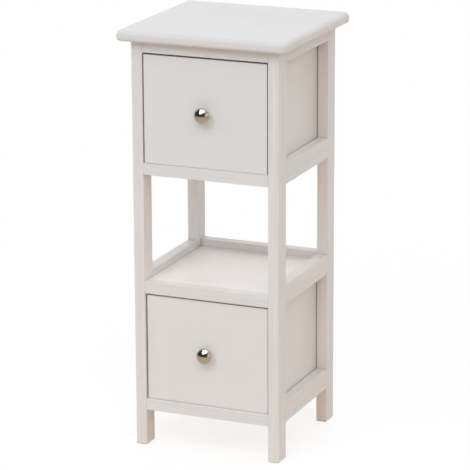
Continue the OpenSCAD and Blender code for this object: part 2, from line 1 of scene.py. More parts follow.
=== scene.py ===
"""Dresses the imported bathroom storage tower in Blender.

The frame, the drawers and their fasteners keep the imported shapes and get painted, wooden and
metal finishes. The two knobs are turned again as smooth lathed pieces. A plain studio with a
pale floor, soft lamps and a camera goes round them. Lengths are in metres.
"""

import math

import bmesh
import bpy
from bpy.props import (
    FloatProperty,
    FloatVectorProperty,
    IntProperty,
    PointerProperty,
)
from mathutils import Matrix, Vector
from mathutils.geometry import interpolate_bezier


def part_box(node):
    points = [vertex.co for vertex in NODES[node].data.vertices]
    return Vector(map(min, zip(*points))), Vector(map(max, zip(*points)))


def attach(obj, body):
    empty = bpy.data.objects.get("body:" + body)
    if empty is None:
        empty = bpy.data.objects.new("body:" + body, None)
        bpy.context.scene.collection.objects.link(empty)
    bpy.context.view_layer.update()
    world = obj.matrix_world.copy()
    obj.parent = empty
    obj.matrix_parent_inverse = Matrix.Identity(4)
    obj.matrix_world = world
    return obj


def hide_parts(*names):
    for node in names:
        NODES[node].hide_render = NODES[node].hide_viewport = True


bl_info = {
    "name": "Bathroom Storage Tower",
    "version": (1, 0, 0),
    "blender": (4, 5, 0),
    "location": "View3D > Sidebar > Tower",
    "description": "Finishes, knobs and studio for the bathroom storage tower",
    "category": "Object",
}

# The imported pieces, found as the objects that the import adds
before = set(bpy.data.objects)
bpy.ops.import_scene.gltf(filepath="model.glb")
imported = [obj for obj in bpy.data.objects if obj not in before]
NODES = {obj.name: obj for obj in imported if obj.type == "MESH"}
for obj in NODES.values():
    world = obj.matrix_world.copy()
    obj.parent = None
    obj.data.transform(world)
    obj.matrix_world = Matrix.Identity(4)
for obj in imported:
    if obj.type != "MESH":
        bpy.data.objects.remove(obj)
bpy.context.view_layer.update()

# Pieces by what they are made of and by the way that their grain runs
SIDES = ("left", "right")
ROWS = ("front", "rear")
BAYS = ("upper", "lower")
LEVELS = ("top", "middle", "shelf", "bottom")
LEGS = [f"leg_{row}_{side}" for row in ROWS for side in SIDES]
CROSS_RAILS = [f"{row}_rail_{level}" for row in ROWS for level in LEVELS]
SIDE_RAILS = [f"{side}_rail_{level}" for side in SIDES for level in LEVELS]
SIDE_PANELS = [f"side_panel_{bay}_{side}" for bay in BAYS for side in SIDES]
BACK_PANELS = [f"back_panel_{bay}" for bay in BAYS]
RUNNERS = [f"runner_{bay}_{side}" for bay in BAYS for side in SIDES]
DRAWERS = [f"{bay}_drawer" for bay in BAYS]
DRAWER_SIDES = [f"{drawer}_side_{side}" for drawer in DRAWERS for side in SIDES]
FRAME_DOWELS = ["front_rail_dowels", "rear_rail_dowels", "side_rail_dowels"]
FRAME_STEEL = ["slab_screws", "runner_screws", "side_panel_pins", "back_panel_pins"]


# ---- Sizes and colours that a user would change --------------------------------------

# What properties of one kind share
COLOUR = {"subtype": "COLOR", "size": 3, "min": 0.0, "max": 1.0}
SHARE = {"subtype": "FACTOR", "min": 0.0, "max": 1.0}
WATTS = {"unit": "POWER", "min": 0.0, "max": 500.0}


class TowerPaint(bpy.types.PropertyGroup):
    """The white paint on the frame, the panels and the drawer fronts."""

    frame_colour: FloatVectorProperty(
        name="Frame",
        description="Paint on the legs, rails and panels",
        default=(0.800, 0.772, 0.757),
        **COLOUR,
    )
    # Painted light: lighter than the frame's paint, standing in for more light on the shelf
    # inside the bay
    shelf_paint_and_light: FloatVectorProperty(
        name="Shelf",
        description="Paint on the shelf board",
        default=(0.890, 0.862, 0.840),
        **COLOUR,
    )
    slab_colour: FloatVectorProperty(
        name="Slab",
        description="Paint on the top slab",
        default=(0.780, 0.757, 0.742),
        **COLOUR,
    )
    # Painted light, partly: the upper front is cooler and darker as light from above, the lower
    # front pinker as warm bounce from the floor
    upper_front_paint_and_cool_light: FloatVectorProperty(
        name="Upper front",
        description="Paint on the upper drawer's front",
        default=(0.778, 0.768, 0.760),
        **COLOUR,
    )
    lower_front_paint_and_warm_bounce: FloatVectorProperty(
        name="Lower front",
        description="Paint on the lower drawer's front",
        default=(0.810, 0.780, 0.775),
        **COLOUR,
    )
    roughness: FloatProperty(
        name="Roughness",
        description="Mean roughness of the satin paint",
        default=0.44,
        **SHARE,
    )
    streaks: FloatProperty(
        name="Streaks",
        description="How strongly the grain tints the paint",
        default=0.40,
        **SHARE,
    )
    relief: FloatProperty(
        name="Grain relief",
        description="Depth of the grain that shows through the paint",
        unit="LENGTH",
        min=0.0,
        max=0.001,
        default=0.00012,
    )
    edge_wear: FloatProperty(
        name="Edge wear",
        description="How strongly the edges look rubbed",
        default=0.35,
        **SHARE,
    )
    # Painted shade: how strongly the paint is darkened in joints and corners, where shade falls
    painted_joint_shade: FloatProperty(
        name="Joint shade",
        description="How dull the paint is in joints and corners",
        default=0.36,
        **SHARE,
    )


class TowerWood(bpy.types.PropertyGroup):
    """The bare wood of the drawer boxes, the runners, the dowels and the drawer bottoms."""

    pale_colour: FloatVectorProperty(
        name="Early wood",
        description="Pale bands of the bare wood",
        default=(0.72, 0.53, 0.33),
        **COLOUR,
    )
    dark_colour: FloatVectorProperty(
        name="Late wood",
        description="Dark bands of the bare wood",
        default=(0.52, 0.33, 0.17),
        **COLOUR,
    )
    ring_gap: FloatProperty(
        name="Ring gap",
        description="Mean distance between two growth rings on a board's face",
        unit="LENGTH",
        min=0.002,
        max=0.2,
        default=0.0377,
    )


class TowerMetal(bpy.types.PropertyGroup):
    """The polished knobs and the zinc-plated screws and pins."""

    knob_colour: FloatVectorProperty(
        name="Knob",
        description="Colour of the polished nickel",
        default=(0.650, 0.595, 0.510),
        **COLOUR,
    )
    knob_roughness: FloatProperty(
        name="Knob roughness",
        description="Roughness of the polished nickel",
        default=0.05,
        **SHARE,
    )
    knob_steps: IntProperty(
        name="Knob steps",
        description="Facets round a knob",
        min=24,
        max=256,
        default=96,
    )
    steel_colour: FloatVectorProperty(
        name="Fasteners",
        description="Colour of the zinc-plated steel",
        default=(0.60, 0.60, 0.62),
        **COLOUR,
    )


class TowerStage(bpy.types.PropertyGroup):
    """The studio: camera, floor, lamps and surroundings."""

    camera_place: FloatVectorProperty(
        name="Camera",
        description="Where the camera stands",
        subtype="TRANSLATION",
        unit="LENGTH",
        size=3,
        default=(1.688, -3.962, 1.558),
    )
    camera_turn: FloatProperty(
        name="Turn",
        description="Camera's heading, anticlockwise from +Y",
        subtype="ANGLE",
        default=math.radians(23.08),
    )
    camera_tilt: FloatProperty(
        name="Tilt",
        description="Camera's slope below the horizon",
        subtype="ANGLE",
        default=math.radians(15.68),
    )
    camera_roll: FloatProperty(
        name="Roll",
        description="Camera's roll about its own axis",
        subtype="ANGLE",
        default=math.radians(-0.25),
    )
    lens: FloatProperty(
        name="Lens",
        description="Focal length on a 36 mm wide sensor",
        unit="CAMERA",
        min=20.0,
        max=500.0,
        default=203.0,
    )
    floor_colour: FloatVectorProperty(
        name="Floor",
        description="Colour of the floor's paper",
        default=(0.80, 0.70, 0.58),
        **COLOUR,
    )
    floor_glow: FloatProperty(
        name="Floor glow",
        description="Light that the paper adds close to the tower",
        default=0.11,
        **SHARE,
    )
    world_level: FloatProperty(
        name="Surroundings",
        description="Strength of the light from all round",
        min=0.0,
        max=3.0,
        default=1.0,
    )
    key_watts: FloatProperty(
        name="Key lamp",
        description="Power of the lamp in front of the tower",
        default=15.6,
        **WATTS,
    )
    side_watts: FloatProperty(
        name="Side lamp",
        description="Power of the lamp at the left",
        default=13.5,
        **WATTS,
    )
    card_watts: FloatProperty(
        name="Low card",
        description="Light that a low white card throws on the front",
        default=0.28,
        **WATTS,
    )


# ---- Materials -----------------------------------------------------------------------

# Shader values that each kind of surface starts from
SATIN_PAINT = {"IOR": 1.48, "Specular IOR Level": 0.5}
DRY_WOOD = {"IOR": 1.45, "Specular IOR Level": 0.35}
METAL = {"Metallic": 1.0}

# How far the painted shade looks for joints and corners, and the edge wear for edges, in
# metres, and which share of open directions makes a deep corner or an open face there
CORNER_SAMPLES = 6
PAINTED_SHADE_REACH = 0.0045
EDGE_REACH = 0.0018
DEEP_CORNER = 0.45
OPEN_FACE = 0.95

# The colour of the painted shade in joints and corners, and of rubbed edges
PAINTED_SHADE_TINT = (0.52, 0.47, 0.43)
WORN_TINT = (0.90, 0.86, 0.80)

# Upward part of the normal at which a face counts as steep or as flat
STEEP_SLOPE = 0.2
FLAT_SLOPE = 0.7

# Tone of the painted shade on the slab's steep and downward faces, and tones of streaks in
# paint, of plywood and of beech
SLAB_SIDE_SHADE_TONE = 0.95
STREAK_TONE = 0.88
PLYWOOD_TONE = 0.96
BEECH_TONE = 0.9

# The two tones between which each finish is cloudy
PAINT_TONES = (0.985, 1.01)
BOARD_TONES = (0.982, 1.008)
NICKEL_TONES = (1.0, 0.94)
ZINC_TONES = (0.86, 1.06)

# Roughness where the pattern is low and where it is high, or how far it sways
PAINT_GLOSS_SWAY = 0.05
BOARD_GLOSS_SWAY = 0.04
SMUDGE_ROUGHNESS = 0.05
WOOD_ROUGHNESS = (0.72, 0.56)
ZINC_ROUGHNESS = (0.30, 0.46)

# Ring gaps of plywood and beech on a board's face, in metres
PLYWOOD_RING_GAP = 0.113
BEECH_RING_GAP = 0.0188

# Blender's ring pattern turns through this angle in one unit of its scaled coordinates
RING_RADIANS = 20.0

# How strong a late-wood band is at its weakest and at its strongest, and how much of the
# late wood's colour the pores take on
LATE_WOOD = (0.45, 1.0)
PORE_SHARE = 0.35

# Patterns, in features a metre across the grain
PAINTED_BANDS = 130.0
PAINTED_FIBRES = 620.0
PAINT_CLOUDS = 9.0
BOARD_CLOUDS = 7.0
ROLLER_STIPPLE = 420.0
WEAR_PATCHES = 90.0
BARE_FIBRES = 900.0
RING_SWAY = 22.0
SMUDGES = 160.0
HAIRLINES = 2600.0
ZINC_SPANGLE = 700.0

# Ranges of the noise, which is mostly near its middle, that carry a pattern
NOISE_RANGE = (0.3, 0.7)
STREAK_RANGE = (0.42, 0.62)
PATCH_RANGE = (0.35, 0.65)
SWAY_RANGE = (0.25, 0.75)
FIBRE_RANGE = (0.35, 0.75)
SMUDGE_RANGE = (0.35, 0.7)
SMEAR_RANGE = (0.4, 0.8)

# How strongly edges are rubbed where the patches are weak and where they are strong
PATCH_WEAR = (0.3, 1.0)

# Relief of fibres and of stipple as shares of the paint's own, and other depths in metres
FIBRE_SHARE = 0.35
STIPPLE_SHARE = 0.5
RING_RELIEF = 0.00005
FIBRE_RELIEF = 0.00006
HAIRLINE_RELIEF = 0.0000015
ZINC_RELIEF = 0.00001

# Cross-grain coordinates keep their scale, the grain's own is shrunk
GRAIN_SHRINK = 0.03
GRAIN = {
    "x": (GRAIN_SHRINK, 1.0, 1.0),
    "y": (1.0, GRAIN_SHRINK, 1.0),
    "z": (1.0, 1.0, GRAIN_SHRINK),
}
HAIRLINE_STRETCH = (1.0, 1.0, 0.05)

# Where the growth rings have their middle, off the piece's own origin
RING_MIDDLE = (0.013, 0.021, 0.007)


def shade(colour, factor):
    """The colour made darker or lighter, with its alpha."""
    return tuple(min(1.0, c * factor) for c in colour[:3]) + (1.0,)


def tinted(colour, tint):
    """The colour seen through a tint, with its alpha."""
    return tuple(c * t for c, t in zip(colour[:3], tint)) + (1.0,)


class NodeKit:
    """Adds shader nodes to one tree and links them."""

    def __init__(self, tree, coordinates):
        self.tree = tree
        self.place = self.add("TexCoord").outputs[coordinates]

    def add(self, kind, inputs=None, **options):
        """One node; an input is a value or the socket that feeds it."""
        made = self.tree.nodes.new("ShaderNode" + kind)
        for key, value in options.items():
            setattr(made, key, value)
        for key, value in (inputs or {}).items():
            self.feed(made.inputs[key], value)
        return made

    def feed(self, socket, value):
        """Links a socket to an input, or sets the input's own value."""
        if isinstance(value, bpy.types.NodeSocket):
            self.tree.links.new(value, socket)
        else:
            socket.default_value = value

    def noise(self, vector, scale, detail=2.0, rough=0.5, twist=0.0):
        """Cloudy noise from 0 to 1, with scale features a metre."""
        return self.add(
            "TexNoise",
            {
                "Vector": vector,
                "Scale": scale,
                "Detail": detail,
                "Roughness": rough,
                "Distortion": twist,
            },
        ).outputs[0]

    def span(self, value, low, high, to_low, to_high):
        """value from the range low..high to the range to_low..to_high, clamped."""
        return self.add(
            "MapRange",
            {
                "Value": value,
                "From Min": low,
                "From Max": high,
                "To Min": to_low,
                "To Max": to_high,
            },
        ).outputs[0]

    def calc(self, operation, a, b):
        """Two values or sockets through one Math node."""
        return self.add("Math", {0: a, 1: b}, operation=operation).outputs[0]

    def mix(self, share, first, second):
        """first where share is 0, second where it is 1."""
        return self.add(
            "MixRGB", {"Fac": share, "Color1": first, "Color2": second}
        ).outputs[0]

    def blend(self, share, first, second):
        """Two shaders: first where share is 0, second where it is 1."""
        return self.add("MixShader", {0: share, 1: first, 2: second}).outputs[0]


class Recipe(NodeKit):
    """Builds one material round its Principled shader."""

    def __init__(self, name, values):
        self.material = bpy.data.materials.new(name)
        self.material.use_nodes = True
        super().__init__(self.material.node_tree, "Object")
        self.shader = self.tree.nodes["Principled BSDF"]
        for key, value in values.items():
            self.shader.inputs[key].default_value = value

    def stretched(self, scale, offset=(0.0, 0.0, 0.0)):
        """Object coordinates, stretched along the grain."""
        return self.add(
            "Mapping", {"Vector": self.place, "Scale": scale, "Location": offset}
        ).outputs[0]

    def clouded(self, colour, cloud, limits, tones):
        """The colour in its first tone at the cloud's low limit, its second at the high one."""
        share = self.span(cloud, *limits, 0.0, 1.0)
        return self.mix(share, shade(colour, tones[0]), shade(colour, tones[1]))

    def bump(self, height, depth, strength=1.0, under=None):
        """Relief of the given depth; under is the normal of a coarser relief."""
        inputs = {"Height": height, "Distance": depth, "Strength": strength}
        if under is not None:
            inputs["Normal"] = under
        return self.add("Bump", inputs).outputs[0]

    def corners(self, reach, inside=False):
        """0 on open surfaces and up to 1 in corners; inside looks for sharp edges instead."""
        open_share = self.add(
            "AmbientOcclusion", {"Distance": reach}, samples=CORNER_SAMPLES, inside=inside
        ).outputs["AO"]
        return self.span(open_share, DEEP_CORNER, OPEN_FACE, 1.0, 0.0)

    def steepness(self):
        """0 on faces that look up and 1 on all others; the painted shade is kept off the faces
        that look up, which the light reaches.
        """
        faces = self.add("SeparateXYZ", {0: self.add("NewGeometry").outputs["Normal"]})
        return self.span(faces.outputs["Z"], STEEP_SLOPE, FLAT_SLOPE, 1.0, 0.0)

    def worn_and_shaded(self, painted, colour, settings):
        """Paint with faintly rubbed, warmer edges and with painted shade darkening its joints
        and corners.
        """
        patches = self.noise(self.place, WEAR_PATCHES, detail=3.0)
        rubbed = self.calc(
            "MULTIPLY",
            self.corners(EDGE_REACH, inside=True),
            self.span(patches, *PATCH_RANGE, *PATCH_WEAR),
        )
        worn = self.mix(
            self.calc("MULTIPLY", rubbed, settings.edge_wear),
            painted,
            tinted(colour, WORN_TINT),
        )
        # Painted shade: darker paint in joints and corners, kept off faces that look up
        shaded_corners = self.calc("MULTIPLY", self.corners(PAINTED_SHADE_REACH), self.steepness())
        return self.mix(
            self.calc("MULTIPLY", shaded_corners, settings.painted_joint_shade),
            worn,
            tinted(colour, PAINTED_SHADE_TINT),
        )

    def finish(self, colour, roughness, normal):
        """Feeds the shader and gives back the finished material."""
        self.feed(self.shader.inputs["Base Color"], colour)
        self.feed(self.shader.inputs["Roughness"], roughness)
        self.feed(self.shader.inputs["Normal"], normal)
        return self.material


def paint_on_wood(name, colour, settings, along):
    """Satin paint on solid wood: the grain shows faintly in tint, gloss and relief."""
    r = Recipe(name, SATIN_PAINT)
    grain = r.stretched(GRAIN[along])
    bands = r.noise(grain, PAINTED_BANDS, detail=3.0, rough=0.55, twist=0.4)
    fibres = r.noise(grain, PAINTED_FIBRES, rough=0.6)
    cloud = r.noise(r.place, PAINT_CLOUDS)
    tint = r.clouded(colour, cloud, NOISE_RANGE, PAINT_TONES)
    streaked = r.mix(settings.streaks, tint, shade(colour, STREAK_TONE))
    painted = r.mix(r.span(bands, *STREAK_RANGE, 1.0, 0.0), tint, streaked)
    rough, sway = settings.roughness, PAINT_GLOSS_SWAY
    gloss = r.span(bands, *NOISE_RANGE, rough + sway, rough - sway)
    coarse = r.bump(bands, settings.relief)
    fine = r.bump(fibres, settings.relief * FIBRE_SHARE, under=coarse)
    # Rubbed edges, and painted shade in the joints and corners
    return r.finish(r.worn_and_shaded(painted, colour, settings), gloss, fine)


def paint_on_board(name, colour, settings, side_shade_tone=1.0):
    """Satin paint on smooth board: roller stipple and a faint cloudiness, but no grain.

    side_shade_tone darkens the board's steep and downward faces against those that look up, as
    painted shade.
    """
    r = Recipe(name, SATIN_PAINT)
    cloud = r.noise(r.place, BOARD_CLOUDS, detail=3.0)
    stipple = r.noise(r.place, ROLLER_STIPPLE)
    painted = r.clouded(colour, cloud, NOISE_RANGE, BOARD_TONES)
    # Painted shade: steep and downward faces darker than those that look up
    if side_shade_tone != 1.0:
        painted = r.mix(r.steepness(), painted, shade(colour, side_shade_tone))
    rough, sway = settings.roughness, BOARD_GLOSS_SWAY
    gloss = r.span(cloud, *NOISE_RANGE, rough + sway, rough - sway)
    # worn holds the rubbed edges and the painted shade in the joints and corners
    worn = r.worn_and_shaded(painted, colour, settings)
    stippled = r.bump(stipple, settings.relief * STIPPLE_SHARE, strength=0.6)
    return r.finish(worn, gloss, stippled)


def bare_wood(name, settings, along, ring_gap=None, tone=1.0):
    """Planed wood: growth rings, fibres and pores under a dry surface."""
    r = Recipe(name, DRY_WOOD)
    grain = r.stretched(GRAIN[along], RING_MIDDLE)
    sway = r.noise(grain, RING_SWAY)
    rings = r.add(
        "TexWave",
        {
            "Vector": grain,
            "Scale": 2.0 * math.pi / (RING_RADIANS * (ring_gap or settings.ring_gap)),
            "Distortion": 5.0,
            "Detail": 3.0,
            "Detail Scale": 1.6,
        },
        wave_type="RINGS",
        rings_direction=along.upper(),
    ).outputs["Fac"]
    fibres = r.noise(grain, BARE_FIBRES, detail=3.0, rough=0.65)
    late = r.calc("MULTIPLY", rings, r.span(sway, *SWAY_RANGE, *LATE_WOOD))
    pale = shade(settings.pale_colour, tone)
    dark = shade(settings.dark_colour, tone)
    ringed = r.mix(late, pale, dark)
    board = r.mix(r.span(fibres, *FIBRE_RANGE, 0.0, PORE_SHARE), ringed, dark)
    gloss = r.span(fibres, *NOISE_RANGE, *WOOD_ROUGHNESS)
    coarse = r.bump(late, RING_RELIEF)
    fine = r.bump(fibres, FIBRE_RELIEF, under=coarse)
    return r.finish(board, gloss, fine)


def polished_nickel(name, settings):
    """Polished nickel plate: a mirror with faint smudges and hairline scratches."""
    r = Recipe(name, METAL)
    smudge = r.noise(r.place, SMUDGES, detail=3.0)
    hair = r.noise(r.stretched(HAIRLINE_STRETCH), HAIRLINES, detail=1.0)
    tint = r.clouded(settings.knob_colour, smudge, SMUDGE_RANGE, NICKEL_TONES)
    rough = settings.knob_roughness
    gloss = r.span(smudge, *SMEAR_RANGE, rough, rough + SMUDGE_ROUGHNESS)
    return r.finish(tint, gloss, r.bump(hair, HAIRLINE_RELIEF, strength=0.3))


def zinc_steel(name, settings):
    """Zinc-plated steel: a grey metal with cloudy, slightly spangled plating."""
    r = Recipe(name, METAL)
    cloud = r.noise(r.place, ZINC_SPANGLE, detail=3.0)
    tint = r.clouded(settings.steel_colour, cloud, PATCH_RANGE, ZINC_TONES)
    gloss = r.span(cloud, *NOISE_RANGE, *ZINC_ROUGHNESS)
    return r.finish(tint, gloss, r.bump(cloud, ZINC_RELIEF))


def coat(names, material):
    """Puts one material on every slot of the named CAD nodes."""
    for name in names:
        for slot in NODES[name].material_slots:
            slot.material = material


# ---- Knobs ---------------------------------------------------------------------------

# The turned outline from foot to shoulder as curves, each with its start, two handles and
# end as (radius, height over the drawer front), in shares of the head's radius and the
# knob's length
FOOT_EDGE = ((0.530, 0.000), (0.555, 0.000), (0.555, 0.065), (0.490, 0.075))
NECK = ((0.490, 0.075), (0.370, 0.095), (0.326, 0.150), (0.326, 0.255))
CUP = ((0.326, 0.255), (0.330, 0.400), (0.560, 0.465), (0.880, 0.499))
RIM = ((0.880, 0.499), (0.955, 0.508), (1.000, 0.540), (1.000, 0.590))
SHOULDER = ((1.000, 0.590), (1.000, 0.630), (0.978, 0.664), (0.945, 0.690))
CURVE_POINTS = 9

# The dome is one arc from the shoulder to the tip
DOME_START = SHOULDER[-1]
DOME_POINTS = 22

# A ring under this radius closes to a point
ON_AXIS = 1e-9


def knob_outline(radius, length):
    """The outline's points from the middle of the foot to the tip, in metres."""
    outline = [(0.0, 0.0)]
    for curve in (FOOT_EDGE, NECK, CUP, RIM, SHOULDER):
        knots = [Vector((x * radius, y * length)) for x, y in curve]
        first = 0 if curve is FOOT_EDGE else 1
        points = interpolate_bezier(*knots, CURVE_POINTS)[first:]
        outline += [tuple(point) for point in points]

    x0, y0 = DOME_START[0] * radius, DOME_START[1] * length
    rise = length - y0
    dome_r = (x0 * x0 + rise * rise) / (2.0 * rise)
    start = math.asin(min(1.0, x0 / dome_r))
    for i in range(1, DOME_POINTS + 1):
        angle = start * (1.0 - i / DOME_POINTS)
        outline.append(
            (dome_r * math.sin(angle), length - dome_r * (1.0 - math.cos(angle)))
        )
    return outline


def turn(name, outline, steps, foot):
    """Turns an outline about the line that leaves foot along -Y."""
    made = bmesh.new()
    rings = []
    for radius, height in outline:
        y = foot.y - height
        if radius < ON_AXIS:
            rings.append([made.verts.new((foot.x, y, foot.z))])
            continue
        ring = []
        for i in range(steps):
            angle = 2.0 * math.pi * i / steps
            x = foot.x + radius * math.cos(angle)
            z = foot.z + radius * math.sin(angle)
            ring.append(made.verts.new((x, y, z)))
        rings.append(ring)

    # A quad for each step between two rings, or a triangle at a ring of one point
    for low, high in zip(rings, rings[1:]):
        for i in range(steps):
            j = (i + 1) % steps
            around = ((low, i), (low, j), (high, j), (high, i))
            corners = [ring[k % len(ring)] for ring, k in around]
            made.faces.new(list(dict.fromkeys(corners)))
    bmesh.ops.recalc_face_normals(made, faces=made.faces)
    mesh = bpy.data.meshes.new(name)
    made.to_mesh(mesh)
    made.free()
    for face in mesh.polygons:
        face.use_smooth = True
    piece = bpy.data.objects.new(name, mesh)
    bpy.context.scene.collection.objects.link(piece)
    return piece


# ---- Operators -----------------------------------------------------------------------


class TOWER_OT_paint_frame(bpy.types.Operator):
    """Paints the legs and the rails, each along its own grain."""

    bl_idname = "tower.paint_frame"
    bl_label = "Paint the frame"

    def execute(self, context):
        paint = context.scene.tower_paint
        for names, along in ((LEGS, "z"), (CROSS_RAILS, "x"), (SIDE_RAILS, "y")):
            name = f"white_paint_grain_{along}"
            coat(names, paint_on_wood(name, paint.frame_colour, paint, along))
        return {"FINISHED"}


class TOWER_OT_paint_boards(bpy.types.Operator):
    """Paints the slab, the shelf and the panels, which are smooth board."""

    bl_idname = "tower.paint_boards"
    bl_label = "Paint slab, shelf and panels"

    def execute(self, context):
        paint = context.scene.tower_paint
        # The slab's steep and downward faces get painted shade
        for names, name, colour, side_shade_tone in (
            (["top_slab"], "white_paint_slab", paint.slab_colour, SLAB_SIDE_SHADE_TONE),
            # The shelf's paint is lightened as painted light
            (["shelf_board"], "white_paint_shelf", paint.shelf_paint_and_light, 1.0),
            (SIDE_PANELS + BACK_PANELS, "white_paint_board", paint.frame_colour, 1.0),
        ):
            coat(names, paint_on_board(name, colour, paint, side_shade_tone))
        return {"FINISHED"}


class TOWER_OT_finish_drawers(bpy.types.Operator):
    """Paints the drawer fronts and gives the drawer boxes their bare wood."""

    bl_idname = "tower.finish_drawers"
    bl_label = "Finish the drawers"

    def execute(self, context):
        paint = context.scene.tower_paint
        wood = context.scene.tower_wood
        # The fronts' two tints are partly painted light: cool light from above on the upper,
        # warm bounce on the lower
        for bay, colour in zip(BAYS, (paint.upper_front_paint_and_cool_light, paint.lower_front_paint_and_warm_bounce)):
            name = f"white_paint_{bay}_front"
            coat([f"{bay}_drawer_front"], paint_on_board(name, colour, paint))
        coat(DRAWER_SIDES + RUNNERS, bare_wood("bare_wood_grain_y", wood, "y"))
        coat(
            [f"{drawer}_back" for drawer in DRAWERS],
            bare_wood("bare_wood_grain_x", wood, "x"),
        )
        coat(
            [f"{drawer}_bottom" for drawer in DRAWERS],
            bare_wood("plywood_face", wood, "x", PLYWOOD_RING_GAP, PLYWOOD_TONE),
        )
        return {"FINISHED"}


class TOWER_OT_finish_fasteners(bpy.types.Operator):
    """Gives the dowels, screws and pins their beech and zinc."""

    bl_idname = "tower.finish_fasteners"
    bl_label = "Finish the fasteners"

    def execute(self, context):
        wood = context.scene.tower_wood
        metal = context.scene.tower_metal
        dowels = FRAME_DOWELS + [f"{drawer}_dowels" for drawer in DRAWERS]
        coat(dowels, bare_wood("beech", wood, "x", BEECH_RING_GAP, BEECH_TONE))
        steel = FRAME_STEEL + [f"{drawer}_screws" for drawer in DRAWERS]
        steel += [f"{drawer}_knob_screw" for drawer in DRAWERS]
        coat(steel, zinc_steel("zinc_plate", metal))
        return {"FINISHED"}


class TOWER_OT_turn_knobs(bpy.types.Operator):
    """Turns a smooth polished knob in the place of each imported one, which it hides."""

    bl_idname = "tower.turn_knobs"
    bl_label = "Turn the knobs"

    def execute(self, context):
        metal = context.scene.tower_metal
        nickel = polished_nickel("polished_nickel_plate", metal)
        for drawer in DRAWERS:
            node = f"{drawer}_knob"
            low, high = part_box(node)
            foot = Vector(((low.x + high.x) / 2, high.y, (low.z + high.z) / 2))
            outline = knob_outline((high.x - low.x) / 2, high.y - low.y)
            knob = turn(f"{drawer}_turned_knob", outline, metal.knob_steps, foot)
            knob.data.materials.append(nickel)
            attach(knob, drawer)
            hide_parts(node)
        return {"FINISHED"}


# ---- Stage ---------------------------------------------------------------------------

# Camera: the sensor's width in millimetres, and its clipping distances
SENSOR_WIDTH = 36.0
CLIP_START = 0.05
CLIP_END = 60.0

# Lamps: where each stands, what it faces, the length of its side and its tint
LAMP_AIM = (0.0, 0.0, 0.40)
LAMP_SIDE = 1.2
KEY_PLACE = (-0.40, -2.26, 2.33)
KEY_TINT = (0.87, 0.98, 1.15)
SIDE_PLACE = (-2.55, -0.93, 1.67)
SIDE_TINT = (1.04, 0.99, 0.96)
CARD_PLACE = (0.20, -0.75, 0.12)
CARD_AIM = (0.20, 0.0, 0.30)
CARD_SIDE = 0.45
WHITE = (1.0, 1.0, 1.0)

# Floor: half its side, its cells a side, and the paper's fibres a metre
FLOOR_HALF = 12.0
FLOOR_CELLS = 8
PAPER_FIBRES = 60.0

# The camera sees the floor as this grey with this much light added, and as plain white
# further off. The change starts and ends at these distances from the tower's middle.
FLOOR_GREY = (0.25, 0.25, 0.25, 1.0)
FLOOR_LIFT = 0.79
FLOOR_NEAR = 0.55
FLOOR_FAR = 1.30

# The warm glow under the tower, and the distances at which it starts to fade and ends
GLOW_COLOUR = (1.0, 0.72, 0.50, 1.0)
GLOW_NEAR = 0.12
GLOW_FAR = 0.50

# The floor in mirrors, as two places and the values there: its paper dims between two
# distances, and turns white between two places behind the tower
PAPER_IN_MIRRORS = (0.3, 4.0, 0.80, 0.42)
WHITE_BEHIND = (0.20, 1.20, 0.0, 1.0)

# The room in mirrors, as two shares of a direction along Z, X or Y and the light there: a
# bright panel overhead with its lower, left and right edges, the white backdrop behind the
# tower, and a pale wall at the right
PANEL_LOWER = (0.63, 0.73, 0.0, 3.0)
PANEL_LEFT = (-0.48, -0.34, 0.0, 1.0)
PANEL_RIGHT = (0.36, 0.58, 1.0, 0.25)
BACKDROP = (0.00, 0.30, 0.045, 0.95)
RIGHT_WALL = (0.66, 0.88, 0.0, 0.80)

# Soft boxes round the tower, as degrees round from the front towards the right, degrees
# over the horizon, and light. Each fades from its core to its edge, which are given as
# cosines of the angle off its middle.
BOX_EDGE = 0.72
BOX_CORE = 0.97
SOFT_BOXES = {
    "front": (0, 40, (0.55, 0.70, 0.80)),
    "front_left": (-45, 40, (0.30, 0.30, 0.30)),
    "front_right": (45, 40, (1.40, 1.25, 1.15)),
    "rear_right": (135, 10, (0.75, 0.75, 0.75)),
    "rear_right_high": (135, 40, (0.25, 0.30, 0.40)),
    "rear": (180, 10, (2.10, 2.10, 2.05)),
    "rear_left": (-135, 10, (1.25, 1.20, 1.15)),
}


def soft_lamp(name, place, aim, side, watts, tint, mirrored):
    """A square lamp that faces its aim. The camera never shows it, and mirrors may."""
    data = bpy.data.lights.new(name, "AREA")
    data.shape = "SQUARE"
    data.size = side
    data.energy = watts
    data.color = tint
    lamp = bpy.data.objects.new(name, data)
    lamp.location = place
    beam = Vector(aim) - Vector(place)
    lamp.rotation_euler = beam.to_track_quat("-Z", "Y").to_euler()
    lamp.visible_camera = False
    lamp.visible_glossy = mirrored
    bpy.context.scene.collection.objects.link(lamp)


